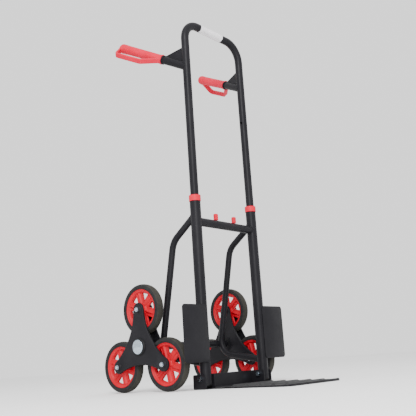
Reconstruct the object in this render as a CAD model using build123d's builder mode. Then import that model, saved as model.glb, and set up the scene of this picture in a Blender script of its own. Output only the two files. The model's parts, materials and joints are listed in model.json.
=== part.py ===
"""Folding six-wheel stair-climbing hand truck, in millimetres.

Frame: +Z up with the floor at Z = 0, -Y towards the toe plate (the front), +Y towards the wheels
and side handles. "left" is -X and "right" is +X. The two uprights stand at X = +-upright_x, Y = 0.
"""
import os
from math import cos, radians, sin, sqrt

from build123d import *

os.makedirs("parts", exist_ok=True)

SIDES = {"left": -1, "right": 1}

# ---------------------------------------------------------------- driving dimensions
upright_x = 133.5            # uprights, each side of the middle
upright_r, upright_wall = 16.0, 1.5
upright_bottom, upright_top = 17.0, 536.0

mast_r, mast_wall = 12.5, 1.5            # telescopic upper tubes and the top bar
mast_bottom, mast_top = 445.0, 1118.0
mast_bend_r = 60.0
lock_hole_r = 4.25
lock_heights = (476.0, 839.0)            # holes for the extended and the lowered handle
bush_r, bush_h, bush_skirt = 17.6, 18.0, 34.0        # collar on the upright's mouth

cross_z, cross_r, cross_wall = 476.0, 12.5, 1.5
pin_r, pin_hole_r, pin_inner, pin_outer = 4.0, 4.08, 28.0, 120.9       # lock pins in the cross tube
stem_r = 2.75
spring_half, spring_pitch, spring_r, spring_wire_r = 24.8, 6.2, 9.6, 1.2

leg_r, leg_wall = 10.0, 1.5
leg_points = ((0, 498.3), (97.1, 429.4), (167.8, 99.3), (0, 70.3))      # (Y, Z) of the centre line
leg_bends = [60.0, 45.0]

hub_y, hub_z = 172.3, 128.0              # axle that both wheel stars turn on
star_r = 107.0                           # hub to wheel axle
lobe_r, waist_r = 19.5, 51.0             # star plate: round ends, and hub to the hollow sides
plate_t, lip_t, lip_depth = 3.0, 2.5, 3.3
wheel_x = 198.15                         # middle plane of the wheels
plate_gap = 37.7                         # between the two plates of a star
tyre_r, tyre_half_w = 74.5, 14.5
rim_r, rim_half_w = 59.6, 11.5
wheel_bore_r, sleeve_r, bolt_r = 7.07, 7.0, 4.0

axle_r, axle_tube_r, axle_tube_end, axle_end = 8.0, 11.0, 170.0, 226.0
cap_r, cap_face, cap_apex, cap_rim = 20.5, 220.4, 228.2, 1.6
hub_r, hub_wall, hub_inner_end = 19.5, 3.0, 172.0

pivot_y, pivot_z = 4.0, 28.0             # hinge of the toe plate
sheet_t = 2.5                            # toe plate steel
toe_half_w, toe_front, toe_rear, toe_corner_r = 131.0, -277.0, 31.5, 26.0
hem_w, hem_h, hem_rear = 8.0, 2.5, -60.0              # hem folded over round the front and sides
ear_x, ear_front, ear_top = 150.0, -16.0, 40.0       # ears outside the uprights, inner face
inner_ear_x = 114.5                                  # ears between the uprights, inner face
rib_rows, rib_length, rib_width, rib_h = (-64.0, -108.0, -152.0, -196.0, -240.0), 200.0, 22.0, 4.0

guard_in, guard_w, guard_low, guard_high, guard_t = 130.0, 103.0, 73.0, 232.5, 2.0

arm_angle, arm_splay, arm_z = 28.2, 15.1, 965.0      # side handles: rise, outward turn, height on the mast
arm_length, arm_wall = 255.0, 2.0
grip_start, grip_end, grip_r = 93.0, 266.0, 14.5
gusset_corners = ((0, 0), (0, 65), (14, 65), (70, 52), (74, 40))
knuckle_drop = 39.0                      # knuckle guard's plane, below straight outward
knuckle_bends = ((144, 54.5), (242, 56))
knuckle_t, knuckle_w = 6.0, 12.0

knob_x, knob_travel = 43.0, 9.0
sleeve_from, sleeve_to = -67.0, 45.0     # plain sleeve on the top bar

head_h, nut_h, hex_r = 5.3, 6.5, 6.5     # M8 heads and nuts

outer_plate_x = wheel_x + plate_gap / 2              # inner face of the outer plate
inner_plate_x = wheel_x - plate_gap / 2              # wheel side of the inner plate


def save(piece, name):
    """Label a finished piece and write its STEP file."""
    piece.part.label = name
    export_step(piece.part, f"parts/{name}.step")


def across(x):
    """Plane facing +X at x, with its own X and Y along the object's Y and Z."""
    return Plane.YZ.offset(x)


def tube_section(outer, wall, at=(0, 0)):
    """Ring of a round tube, added to the current sketch."""
    with Locations(at):
        Circle(outer)
        Circle(outer - wall, mode=Mode.SUBTRACT)


# ---------------------------------------------------------------- uprights, cross tube and legs
for side, s in SIDES.items():
    x = s * upright_x

    with BuildPart() as upright:
        with BuildSketch(Plane.XY.offset(upright_bottom)):
            tube_section(upright_r, upright_wall, (x, 0))
        extrude(amount=upright_top - upright_bottom)
        with BuildSketch(across(x - upright_r - 1)):
            with Locations((pivot_y, pivot_z)):
                Circle(bolt_r)
        extrude(amount=2 * upright_r + 2, mode=Mode.SUBTRACT)
        with BuildSketch(across(x)):
            with Locations((0, cross_z)):
                Circle(pin_hole_r)
        extrude(amount=-s * (upright_r + 1), mode=Mode.SUBTRACT)
    save(upright, f"upright_{side}")

    # rear leg: one bent tube from high on the upright, past the axle, back to the upright's foot
    with BuildPart() as leg:
        with BuildLine(across(x)) as leg_line:
            FilletPolyline(*leg_points, radius=leg_bends)
        with BuildSketch(Plane(leg_line.line @ 0, z_dir=leg_line.line % 0)):
            tube_section(leg_r, leg_wall)
        sweep()
        with Locations((x, 0, 300)):
            Cylinder(upright_r, 700, mode=Mode.SUBTRACT)
        with BuildSketch(across(x - 20)):
            with Locations((hub_y, hub_z)):
                Circle(axle_tube_r)
        extrude(amount=40, mode=Mode.SUBTRACT)
    save(leg, f"rear_leg_{side}")

    # telescope bush: a red collar on the upright's mouth with a skirt inside it
    with BuildPart() as bush:
        with BuildSketch(Plane.XY.offset(upright_top)):
            with Locations((x, 0)):
                Circle(bush_r)
        extrude(amount=bush_h)
        with BuildSketch(Plane.XY.offset(upright_top - bush_skirt)):
            with Locations((x, 0)):
                Circle(upright_r - upright_wall)
        extrude(amount=bush_skirt)
        fillet(bush.edges().filter_by(GeomType.CIRCLE).group_by(Axis.Z)[-1], 1.5)
        with Locations((x, 0, upright_top)):
            Cylinder(mast_r + 0.05, 120, mode=Mode.SUBTRACT)
    save(bush, f"slide_bush_{side}")

    # sheet guard that keeps the load off the wheels
    with BuildPart() as guard:
        with BuildSketch(Plane.XZ.offset(upright_r)):
            with Locations((s * (guard_in + guard_w / 2), (guard_low + guard_high) / 2)):
                RectangleRounded(guard_w, guard_high - guard_low, 10)
        extrude(amount=guard_t)
    save(guard, f"wheel_guard_{side}")

with BuildPart() as cross_tube:
    with BuildSketch(across(-upright_x)):
        tube_section(cross_r, cross_wall, (0, cross_z))
    extrude(amount=2 * upright_x)
    with Locations((-upright_x, 0, cross_z), (upright_x, 0, cross_z)):
        Cylinder(upright_r, 60, mode=Mode.SUBTRACT)
    with BuildSketch(Plane.XY.offset(cross_z)):
        with Locations((knob_x - knob_travel / 2, 0), (knob_travel / 2 - knob_x, 0)):
            SlotOverall(knob_travel + 6.4, 6.4)
    extrude(amount=cross_r + 1, mode=Mode.SUBTRACT)
save(cross_tube, "cross_tube")

# foot plugs: round at the front so that the toe plate can swing past, flat at the heel as its stop
for side, s in SIDES.items():
    heel_z = sheet_t + 0.3
    with BuildPart() as plug:
        with BuildSketch(across(s * upright_x - upright_r)):
            with Locations((pivot_y, pivot_z)):
                Circle(pivot_z - heel_z)
                Rectangle(upright_r, pivot_z, align=(Align.MIN, Align.MAX))
            with Locations((0, heel_z)):
                Rectangle(2 * upright_r, upright_bottom - heel_z, align=(Align.CENTER, Align.MIN),
                          mode=Mode.INTERSECT)
        extrude(amount=2 * upright_r)
        with Locations((s * upright_x, 0, 0)):
            Cylinder(upright_r, 100, mode=Mode.INTERSECT)
        with BuildSketch(Plane.XY.offset(upright_bottom)):
            with Locations((s * upright_x, 0)):
                Circle(upright_r - upright_wall)
        extrude(amount=25)
        with BuildSketch(across(s * upright_x - upright_r)):
            with Locations((pivot_y, pivot_z)):
                Circle(bolt_r)
        extrude(amount=2 * upright_r, mode=Mode.SUBTRACT)
    save(plug, f"foot_plug_{side}")

# ---------------------------------------------------------------- axle
with BuildPart() as axle_tube:
    with BuildSketch(across(-axle_tube_end)):
        tube_section(axle_tube_r, axle_tube_r - axle_r, (hub_y, hub_z))
    extrude(amount=2 * axle_tube_end)
save(axle_tube, "axle_tube")

with BuildPart() as axle_rod:
    with BuildSketch(across(-axle_end)):
        with Locations((hub_y, hub_z)):
            Circle(axle_r)
    extrude(amount=2 * axle_end)
    chamfer(axle_rod.edges().filter_by(GeomType.CIRCLE), 1)
save(axle_rod, "axle_rod")

with BuildPart() as axle_washers:
    for s in SIDES.values():
        with BuildSketch(across(s * (axle_tube_end + 0.1))):
            tube_section(15, 15 - axle_r, (hub_y, hub_z))
        extrude(amount=s * 1.8)
save(axle_washers, "axle_washers")

# push-on domed caps that keep the stars on the rod
with BuildPart() as axle_caps:
    for s in SIDES.values():
        with BuildSketch(Plane(origin=(0, hub_y, hub_z), x_dir=(s, 0, 0), z_dir=(0, -s, 0))):
            with BuildLine():
                inside = Polyline((cap_apex, 0), (axle_end, 0), (axle_end, axle_r), (cap_face, axle_r),
                                  (cap_face, cap_r), (cap_face + cap_rim, cap_r))
                TangentArc(inside @ 0, inside @ 1, tangent=(0, 1))
            make_face()
        revolve(axis=Axis((0, hub_y, hub_z), (1, 0, 0)))
save(axle_caps, "axle_caps")

# ---------------------------------------------------------------- telescopic handle
with BuildPart() as handle_tube:
    with BuildLine(Plane.XZ) as mast_line:
        FilletPolyline((-upright_x, mast_bottom), (-upright_x, mast_top), (upright_x, mast_top),
                       (upright_x, mast_bottom), radius=mast_bend_r)
    with BuildSketch(Plane(mast_line.line @ 0, z_dir=mast_line.line % 0)):
        tube_section(mast_r, mast_wall)
    sweep()
    for s in SIDES.values():
        with BuildSketch(across(s * (upright_x - mast_r - 1))):
            with Locations(*((0, z) for z in lock_heights)):
                Circle(lock_hole_r)
        extrude(amount=s * 5, mode=Mode.SUBTRACT)
save(handle_tube, "handle_tube")

with BuildPart() as bar_sleeve:
    with BuildSketch(across(sleeve_from)):
        tube_section(mast_r + 0.6, 0.6, (0, mast_top))
    extrude(amount=sleeve_to - sleeve_from)
save(bar_sleeve, "top_bar_sleeve")

with BuildPart() as guide_plugs:
    for s in SIDES.values():
        with BuildSketch(Plane.XY.offset(mast_bottom)):
            with Locations((s * upright_x, 0)):
                Circle(mast_r - mast_wall)
        extrude(amount=17)
        with BuildSketch(Plane.XY.offset(mast_bottom)):
            with Locations((s * upright_x, 0)):
                Circle(upright_r - upright_wall - 0.07)
        extrude(amount=-6)
save(guide_plugs, "guide_plugs")

for side, s in SIDES.items():
    mast_point = Vector(s * upright_x, 0, arm_z)
    out = Vector(s * sin(radians(arm_splay)), cos(radians(arm_splay)), 0)
    along = out * cos(radians(arm_angle)) + Vector(0, 0, sin(radians(arm_angle)))
    arm_plane = Plane(origin=mast_point, z_dir=along)

    with BuildPart() as arm:
        with BuildSketch(arm_plane):
            tube_section(mast_r, arm_wall)
        extrude(amount=arm_length)
        with BuildSketch(arm_plane.offset(grip_start - 5)):
            tube_section(grip_r, grip_r - mast_r)
        extrude(amount=5)
        with Locations(mast_point):
            Cylinder(mast_r, 300, mode=Mode.SUBTRACT)
    save(arm, f"side_arm_{side}")

    # web plate in the upright plane of the arm, above it
    with BuildPart() as gusset:
        with BuildSketch(Plane(origin=mast_point, x_dir=out, z_dir=out.cross(Vector(0, 0, 1)))):
            with BuildLine():
                Polyline(*gusset_corners, close=True)
            make_face()
        extrude(amount=2, both=True)
        with Locations(mast_point):
            Cylinder(mast_r, 400, mode=Mode.SUBTRACT)
        with BuildSketch(arm_plane.offset(-50)):
            Circle(mast_r)
        extrude(amount=200, mode=Mode.SUBTRACT)
    save(gusset, f"arm_gusset_{side}")

    # moulded grip and its knuckle guard, in a plane that leans outward and down from the arm
    sideways = along.cross(out).normalized()
    upwards = along.cross(sideways)
    outward = Vector(s * cos(radians(arm_splay)), -sin(radians(arm_splay)), 0)
    knuckle_dir = outward * cos(radians(knuckle_drop)) - upwards * sin(radians(knuckle_drop))
    grip_plane = Plane(origin=mast_point, x_dir=along, z_dir=along.cross(knuckle_dir))
    with BuildPart() as grip:
        with BuildSketch(grip_plane):
            with BuildLine():
                end = Line((grip_end, 0), (arm_length, 0))
                bore = Polyline(end @ 1, (arm_length, mast_r), (grip_start, mast_r), (grip_start, grip_r),
                                (grip_end - 9, grip_r))
                RadiusArc(bore @ 1, (grip_end, grip_r - 9), 9)
                Line((grip_end, grip_r - 9), end @ 0)
            make_face()
        revolve(axis=Axis(mast_point, along))
        with BuildSketch(grip_plane):
            with BuildLine() as guard_line:
                FilletPolyline((grip_start + 5, mast_r), *knuckle_bends, (grip_end - 8, mast_r), radius=12)
            trace(guard_line.line, knuckle_t)
        extrude(amount=knuckle_w / 2, both=True)
        with BuildSketch(arm_plane.offset(grip_start - 20)):
            Circle(mast_r)
        extrude(amount=arm_length - grip_start + 20, mode=Mode.SUBTRACT)
    save(grip, f"grip_{side}")

# ---------------------------------------------------------------- release knobs and lock pins
for side, s in SIDES.items():
    with BuildPart() as lock_pin:
        with BuildSketch(across(s * pin_inner)):
            with Locations((0, cross_z)):
                Circle(pin_r)
        extrude(amount=s * (pin_outer - pin_inner))
        with BuildSketch(across(s * 36)):
            with Locations((0, cross_z)):
                Circle(cross_r - cross_wall - 0.08)
        extrude(amount=s * 14)
        with BuildSketch(Plane.XY.offset(cross_z + 4)):
            with Locations((s * knob_x, 0)):
                Circle(stem_r)
        extrude(amount=10, mode=Mode.SUBTRACT)
    save(lock_pin, f"lock_pin_{side}")

    with BuildPart() as knob:
        with BuildSketch(Plane.XY.offset(cross_z + cross_r + 1)):
            with Locations((s * knob_x, 0)):
                RectangleRounded(13, 11, 3)
        extrude(amount=19.5)
        fillet(knob.edges().group_by(Axis.Z)[-1], 1.5)
        with BuildSketch(Plane.XY.offset(cross_z + 4)):
            with Locations((s * knob_x, 0)):
                Circle(stem_r)
        extrude(amount=cross_r - 3)
    save(knob, f"release_knob_{side}")

# one spring between the two pins, drawn at its squeezed length
with BuildPart() as lock_spring:
    with BuildLine():
        coil = Helix(pitch=spring_pitch, height=2 * spring_half, radius=spring_r,
                     center=(-spring_half, 0, cross_z), direction=(1, 0, 0))
    with BuildSketch(Plane(coil @ 0, z_dir=coil % 0)):
        Circle(spring_wire_r)
    sweep(is_frenet=True)
save(lock_spring, "lock_spring")

# ---------------------------------------------------------------- toe plate
with BuildPart() as toe_plate:
    with BuildSketch():
        with Locations((0, toe_front)):
            Rectangle(2 * toe_half_w, -toe_front, align=(Align.CENTER, Align.MIN))
        fillet(vertices().group_by(Axis.Y)[0], toe_corner_r)
        with Locations((0, ear_front)):
            Rectangle(2 * (ear_x + sheet_t), toe_rear - ear_front, align=(Align.CENTER, Align.MIN))
    extrude(amount=sheet_t)
    with BuildSketch():
        with Locations((0, toe_rear)):
            Rectangle(2 * (inner_ear_x + sheet_t), sheet_t, align=(Align.CENTER, Align.MAX))
        with Locations((ear_x + sheet_t / 2, ear_front), (-ear_x - sheet_t / 2, ear_front)):
            Rectangle(sheet_t, toe_rear - ear_front, align=(Align.CENTER, Align.MIN))
    extrude(amount=ear_top)
    with BuildSketch(Plane.XY.offset(sheet_t)):
        with Locations((0, toe_front)):
            Rectangle(2 * toe_half_w, hem_rear - toe_front, align=(Align.CENTER, Align.MIN))
        fillet(vertices().group_by(Axis.Y)[0], toe_corner_r)
        with Locations((0, toe_front + hem_w)):
            RectangleRounded(2 * (toe_half_w - hem_w), hem_rear - toe_front + toe_corner_r, toe_corner_r - hem_w,
                             align=(Align.CENTER, Align.MIN), mode=Mode.SUBTRACT)
    extrude(amount=hem_h)
    for y in rib_rows:
        with BuildSketch(Plane.XY.offset(sheet_t)):
            with Locations((0, y)):
                SlotOverall(rib_length, rib_width)
        extrude(amount=rib_h, taper=50)
    for y in rib_rows:
        with BuildSketch():
            with Locations((0, y)):
                SlotOverall(rib_length - 4, rib_width - 4)
        extrude(amount=rib_h, taper=50, mode=Mode.SUBTRACT)
    with BuildSketch(across(-ear_x - sheet_t - 1)):
        with Locations((pivot_y, pivot_z)):
            Circle(bolt_r + 0.07)
    extrude(amount=2 * (ear_x + sheet_t + 1), mode=Mode.SUBTRACT)
save(toe_plate, "toe_plate")

with BuildPart() as inner_ears:
    for s in SIDES.values():
        with BuildSketch(across(s * inner_ear_x)):
            with Locations((ear_front, sheet_t)):
                Rectangle(toe_rear - sheet_t - ear_front, ear_top - sheet_t, align=(Align.MIN, Align.MIN))
            with Locations((pivot_y, pivot_z)):
                Circle(bolt_r + 0.07, mode=Mode.SUBTRACT)
        extrude(amount=s * sheet_t)
save(inner_ears, "toe_inner_ears")

with BuildPart() as pivot_bolts:
    for s in SIDES.values():
        with BuildSketch(across(s * (ear_x + sheet_t + 0.1))):
            with Locations((pivot_y, pivot_z)):
                RegularPolygon(hex_r, 6, major_radius=False)
        extrude(amount=s * head_h)
        with BuildSketch(across(s * (ear_x + sheet_t + 0.1))):
            with Locations((pivot_y, pivot_z)):
                Circle(bolt_r)
        extrude(amount=-s * (ear_x + sheet_t - inner_ear_x + nut_h + 1.5))
save(pivot_bolts, "toe_pivot_bolts")

with BuildPart() as pivot_nuts:
    for s in SIDES.values():
        with BuildSketch(across(s * (inner_ear_x - 0.1))):
            with Locations((pivot_y, pivot_z)):
                RegularPolygon(hex_r, 6, major_radius=False)
                Circle(bolt_r, mode=Mode.SUBTRACT)
        extrude(amount=-s * nut_h)
save(pivot_nuts, "toe_pivot_nuts")

# ---------------------------------------------------------------- wheel stars


def star_outline(inset=0.0):
    """Three round lobes joined by three hollow sides, added to the current sketch."""
    lobe, waist = lobe_r - inset, waist_r - inset
    hollow = (star_r**2 - (waist - lobe) ** 2) / (star_r - 2 * (waist - lobe))     # hub to a side's arc centre
    across_n, along_t = star_r / 2, star_r * sqrt(3) / 2
    reach = lobe / (hollow - waist + lobe)
    tangent = (across_n + (hollow - across_n) * reach, along_t * (1 - reach))
    corners = []
    for side_angle in (30, 150, 270):
        for sign in (-1, 1):
            n, t = tangent[0], sign * tangent[1]
            a = radians(side_angle)
            corners.append((n * cos(a) - t * sin(a), n * sin(a) + t * cos(a)))
    with Locations((hub_y, hub_z)):
        Polygon(*corners, align=None)
        with PolarLocations(hollow, 3, start_angle=30):
            Circle(hollow - waist, mode=Mode.SUBTRACT)
        with PolarLocations(star_r, 3, start_angle=90):
            Circle(lobe)


def at_wheel_axles(shape, radius):
    """The same circle or hexagon at the three wheel axles, added to the current sketch."""
    with Locations((hub_y, hub_z)):
        with PolarLocations(star_r, 3, start_angle=90, rotate=False):
            shape(radius)


def hexagon(across_flats_r):
    """Bolt head or nut outline."""
    RegularPolygon(across_flats_r, 6, major_radius=False)


for side, s in SIDES.items():
    # outer and inner plates are pressings whose rims turn in towards the wheels
    for name, face, inward in (("outer", outer_plate_x, -1), ("inner", inner_plate_x, 1)):
        with BuildPart() as plate:
            with BuildSketch(across(s * (face - inward * plate_t))):
                star_outline()
            extrude(amount=s * inward * (plate_t + lip_depth))
            with BuildSketch(across(s * face)):
                star_outline(lip_t)
            extrude(amount=s * inward * lip_depth, mode=Mode.SUBTRACT)
            with BuildSketch(across(s * (face - inward * plate_t))):
                at_wheel_axles(Circle, bolt_r)
                with Locations((hub_y, hub_z)):
                    Circle(hub_r)
            extrude(amount=s * inward * plate_t, mode=Mode.SUBTRACT)
        save(plate, f"star_plate_{name}_{side}")

    with BuildPart() as hub:
        with BuildSketch(across(s * hub_inner_end)):
            tube_section(hub_r, hub_wall, (hub_y, hub_z))
        extrude(amount=s * (outer_plate_x + plate_t - hub_inner_end))
    save(hub, f"star_hub_{side}")

    with BuildPart() as hub_bushes:
        for start in (hub_inner_end + 0.5, outer_plate_x + plate_t - 17.5):
            with BuildSketch(across(s * start)):
                tube_section(hub_r - hub_wall, hub_r - hub_wall - axle_r - 0.06, (hub_y, hub_z))
            extrude(amount=s * 17)
    save(hub_bushes, f"hub_bushes_{side}")

    with BuildPart() as sleeves:
        with BuildSketch(across(s * inner_plate_x)):
            at_wheel_axles(Circle, sleeve_r)
        extrude(amount=s * plate_gap)
        with BuildSketch(across(s * inner_plate_x)):
            at_wheel_axles(Circle, bolt_r)
        extrude(amount=s * plate_gap, mode=Mode.SUBTRACT)
    save(sleeves, f"wheel_sleeves_{side}")

    with BuildPart() as bolts:
        with BuildSketch(across(s * (outer_plate_x + plate_t))):
            at_wheel_axles(hexagon, hex_r)
        extrude(amount=s * head_h)
        with BuildSketch(across(s * (outer_plate_x + plate_t))):
            at_wheel_axles(Circle, bolt_r)
        extrude(amount=-s * (plate_gap + 2 * plate_t + nut_h + 0.8))
    save(bolts, f"wheel_bolts_{side}")

    with BuildPart() as nuts:
        with BuildSketch(across(s * (inner_plate_x - plate_t))):
            at_wheel_axles(hexagon, hex_r)
        extrude(amount=-s * nut_h)
        with BuildSketch(across(s * (inner_plate_x - plate_t))):
            at_wheel_axles(Circle, bolt_r)
        extrude(amount=-s * nut_h, mode=Mode.SUBTRACT)
    save(nuts, f"wheel_nuts_{side}")

# ---------------------------------------------------------------- wheels
hub_half_w, web_half_t, seat_r, seat_half_w = 18.35, 3.0, 53.0, 8.5
windows, window_turn, window_in, window_out, window_half_w = 6, 47.0, 25.5, 46.5, 11.5
window_edge, window_edge_half_w = 2.2, 5.0


def window_outlines(y, z):
    """The triangular windows between the spokes, added to the current sketch."""
    with Locations((y, z)):
        with PolarLocations(0, windows, start_angle=window_turn):
            Polygon((window_in, 0), (window_out, window_half_w), (window_out, -window_half_w), align=None)


for side, s in SIDES.items():
    for place, turn in (("top", 90), ("front", 210), ("rear", 330)):
        wheel_y = hub_y + star_r * cos(radians(turn))
        wheel_z = hub_z + star_r * sin(radians(turn))
        centre = Vector(s * wheel_x, wheel_y, wheel_z)
        radial = Plane(origin=centre, x_dir=(1, 0, 0), z_dir=(0, -1, 0))
        axis = Axis(centre, (1, 0, 0))

        with BuildPart() as rim:
            with BuildSketch(radial):
                with BuildLine():
                    half = [(hub_half_w, wheel_bore_r), (hub_half_w, 13), (web_half_t, 16), (web_half_t, 47.5),
                            (8.5, 50.5), (rim_half_w, 56), (rim_half_w, rim_r), (seat_half_w, rim_r),
                            (seat_half_w, seat_r)]
                    Polyline(*half, *((-a, r) for a, r in reversed(half)), close=True)
                make_face()
            revolve(axis=axis)
            # raised edges round the windows make channelled spokes
            with BuildSketch(across(centre.X)):
                window_outlines(wheel_y, wheel_z)
                offset(amount=window_edge)
            extrude(amount=window_edge_half_w, both=True)
            with BuildSketch(across(centre.X)):
                window_outlines(wheel_y, wheel_z)
            extrude(amount=rim_half_w, both=True, mode=Mode.SUBTRACT)
        save(rim, f"rim_{side}_{place}")

        with BuildPart() as tyre:
            with BuildSketch(radial):
                with BuildLine():
                    seat = Polyline((-rim_half_w, rim_r), (-seat_half_w, rim_r), (-seat_half_w, seat_r),
                                    (seat_half_w, seat_r), (seat_half_w, rim_r), (rim_half_w, rim_r))
                    wall = ThreePointArc(seat @ 1, (tyre_half_w, 66.5), (12.4, 71.2))
                    crown = ThreePointArc(wall @ 1, (0, tyre_r), (-12.4, 71.2))
                    ThreePointArc(crown @ 1, (-tyre_half_w, 66.5), seat @ 0)
                make_face()
            revolve(axis=axis)
        save(tyre, f"tyre_{side}_{place}")
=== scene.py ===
"""Looks of the folding stair-climbing hand truck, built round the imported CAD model. Metres, +Z up."""

import json
from math import atan2, cos, degrees, hypot, pi, radians, sin, sqrt, tan

import bpy
import numpy as np
from mathutils import Matrix, Vector
from mathutils.geometry import delaunay_2d_cdt


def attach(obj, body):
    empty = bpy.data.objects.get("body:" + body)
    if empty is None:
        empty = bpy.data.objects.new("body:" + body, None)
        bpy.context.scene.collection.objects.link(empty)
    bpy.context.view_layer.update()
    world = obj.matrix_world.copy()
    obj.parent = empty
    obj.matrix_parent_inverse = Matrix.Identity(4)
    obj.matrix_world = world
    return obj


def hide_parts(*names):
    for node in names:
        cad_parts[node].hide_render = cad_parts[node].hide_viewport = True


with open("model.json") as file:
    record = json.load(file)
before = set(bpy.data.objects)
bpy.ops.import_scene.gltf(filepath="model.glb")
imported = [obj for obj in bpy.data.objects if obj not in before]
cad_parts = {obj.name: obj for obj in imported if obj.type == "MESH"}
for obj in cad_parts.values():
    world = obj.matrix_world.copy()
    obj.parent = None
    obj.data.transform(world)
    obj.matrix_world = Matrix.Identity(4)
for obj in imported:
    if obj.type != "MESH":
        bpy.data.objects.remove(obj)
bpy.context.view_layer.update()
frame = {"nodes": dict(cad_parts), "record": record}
nodes = frame["nodes"]
MM = 0.001
SIDES = {"left": -1, "right": 1}
WHEELS = {"top": 90, "front": 210, "rear": 330}
HUB_Y, HUB_Z, STAR_R, WHEEL_X = 172.3, 128.0, 107.0, 198.15


# ---------------------------------------------------------------- camera
def camera(place, yaw, pitch, roll, lens):
    """Camera at a place, looking yaw degrees from +Y towards +X and pitch degrees up."""
    y, t, r = radians(yaw), radians(pitch), radians(roll)
    ahead = Vector((cos(t) * sin(y), cos(t) * cos(y), sin(t)))
    level = Vector((cos(y), -sin(y), 0))
    up = level.cross(ahead)
    right = cos(r) * level + sin(r) * up
    above = -sin(r) * level + cos(r) * up
    cam = bpy.data.objects.new("camera", bpy.data.cameras.new("camera"))
    bpy.context.scene.collection.objects.link(cam)
    cam.matrix_world = Matrix.Translation(place) @ Matrix((right, above, -ahead)).transposed().to_4x4()
    cam.data.lens, cam.data.sensor_width = lens, 36
    cam.data.clip_start, cam.data.clip_end = 0.01, 100
    bpy.context.scene.camera = cam


camera(Vector((-1.5768, -1.2786, 0.0748)), 49.56, 12.815, -3.805, 58.23)


# ---------------------------------------------------------------- materials
class Paint:
    """A Principled material whose colour, roughness and bump come from noise in object space."""

    def __init__(self, name, **sockets):
        self.mat = bpy.data.materials.new(name)
        self.mat.use_nodes = True
        self.tree = self.mat.node_tree
        self.shader = self.tree.nodes["Principled BSDF"]
        for socket, value in sockets.items():
            self.shader.inputs[socket.replace("_", " ")].default_value = value
        self.place = self.add("ShaderNodeTexCoord").outputs["Object"]

    def add(self, kind, values=None, **settings):
        node = self.tree.nodes.new(kind)
        for key, value in settings.items():
            setattr(node, key, value)
        for key, value in (values or {}).items():
            if hasattr(value, "is_output"):
                self.tree.links.new(value, node.inputs[key])
            else:
                node.inputs[key].default_value = value
        return node

    def noise(self, scale, detail=3.0, rough=0.55, stretch=None):
        place = self.place
        if stretch:
            place = self.add("ShaderNodeMapping", {"Vector": place, "Scale": stretch}).outputs[0]
        return self.add("ShaderNodeTexNoise", {"Vector": place, "Scale": scale, "Detail": detail,
                                               "Roughness": rough}).outputs[0]

    def ramp(self, source, low, high, to_low=0.0, to_high=1.0):
        return self.add("ShaderNodeMapRange", {"Value": source, "From Min": low, "From Max": high,
                                               "To Min": to_low, "To Max": to_high}).outputs[0]

    def mix(self, amount, a, b):
        node = self.add("ShaderNodeMix", data_type="RGBA")
        for socket, value in ((0, amount), (6, a), (7, b)):
            if hasattr(value, "is_output"):
                self.tree.links.new(value, node.inputs[socket])
            else:
                node.inputs[socket].default_value = value if socket == 0 else (*value, 1)
        return node.outputs[2]

    def calc(self, operation, a, b):
        return self.add("ShaderNodeMath", {0: a, 1: b}, operation=operation).outputs[0]

    def edges(self, radius):
        """1 on convex and concave edges, 0 on flat and gently curved faces."""
        round_normal = self.add("ShaderNodeBevel", {"Radius": radius}, samples=4).outputs[0]
        flat_normal = self.add("ShaderNodeNewGeometry").outputs["Normal"]
        dot = self.add("ShaderNodeVectorMath", {0: round_normal, 1: flat_normal}, operation="DOT_PRODUCT")
        return self.ramp(dot.outputs["Value"], 0.99, 0.80)

    def bump(self, *layers):
        """Stack of (height, strength, distance in metres)."""
        normal = None
        for height, strength, distance in layers:
            values = {"Height": height, "Strength": strength, "Distance": distance}
            if normal is not None:
                values["Normal"] = normal
            normal = self.add("ShaderNodeBump", values).outputs[0]
        self.set("Normal", normal)

    def set(self, socket, source):
        self.tree.links.new(source, self.shader.inputs[socket])


def powder_coat(name, low, high, rough):
    """Satin powder coat: orange peel, faint clouding, rubbed edges and a little dust."""
    p = Paint(name, Specular_IOR_Level=0.11)
    cloud = p.noise(9, 4)
    colour = p.mix(p.ramp(cloud, 0.35, 0.68), low, high)
    rub = p.calc("MULTIPLY", p.edges(0.0009), p.ramp(p.noise(140, 4), 0.46, 0.66))
    colour = p.mix(p.calc("MULTIPLY", rub, 0.55), colour, (0.075, 0.075, 0.08))
    p.set("Base Color", colour)
    p.set("Roughness", p.ramp(p.noise(55, 4), 0.3, 0.7, rough - 0.06, rough + 0.07))
    p.bump((p.noise(520, 2), 0.22, 0.0003), (p.noise(1900, 2), 0.15, 0.00012))
    return p.mat


def moulded(name, low, high, rough, grain=1500, scatter=0.0, spec=0.45):
    """Moulded plastic: fine spark-eroded grain, slight flow clouding, scuffs that are a little paler."""
    p = Paint(name, Specular_IOR_Level=spec, Subsurface_Weight=scatter, Subsurface_Scale=0.004)
    p.shader.inputs["Subsurface Radius"].default_value = (1.0, 0.25, 0.2)
    colour = p.mix(p.ramp(p.noise(22, 3, stretch=(1, 1, 0.4)), 0.32, 0.7), low, high)
    scuff = p.ramp(p.noise(260, 5, 0.7, stretch=(1, 0.25, 1)), 0.66, 0.78)
    pale = tuple(min(1, 1.2 * c + 0.012) for c in high)
    p.set("Base Color", p.mix(p.calc("MULTIPLY", scuff, 0.2), colour, pale))
    p.set("Roughness", p.ramp(p.noise(90, 4), 0.3, 0.7, rough - 0.05, rough + 0.08))
    p.bump((p.noise(grain, 2), 0.12, 0.0001), (p.noise(60, 2), 0.1, 0.0004))
    return p.mat


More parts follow.
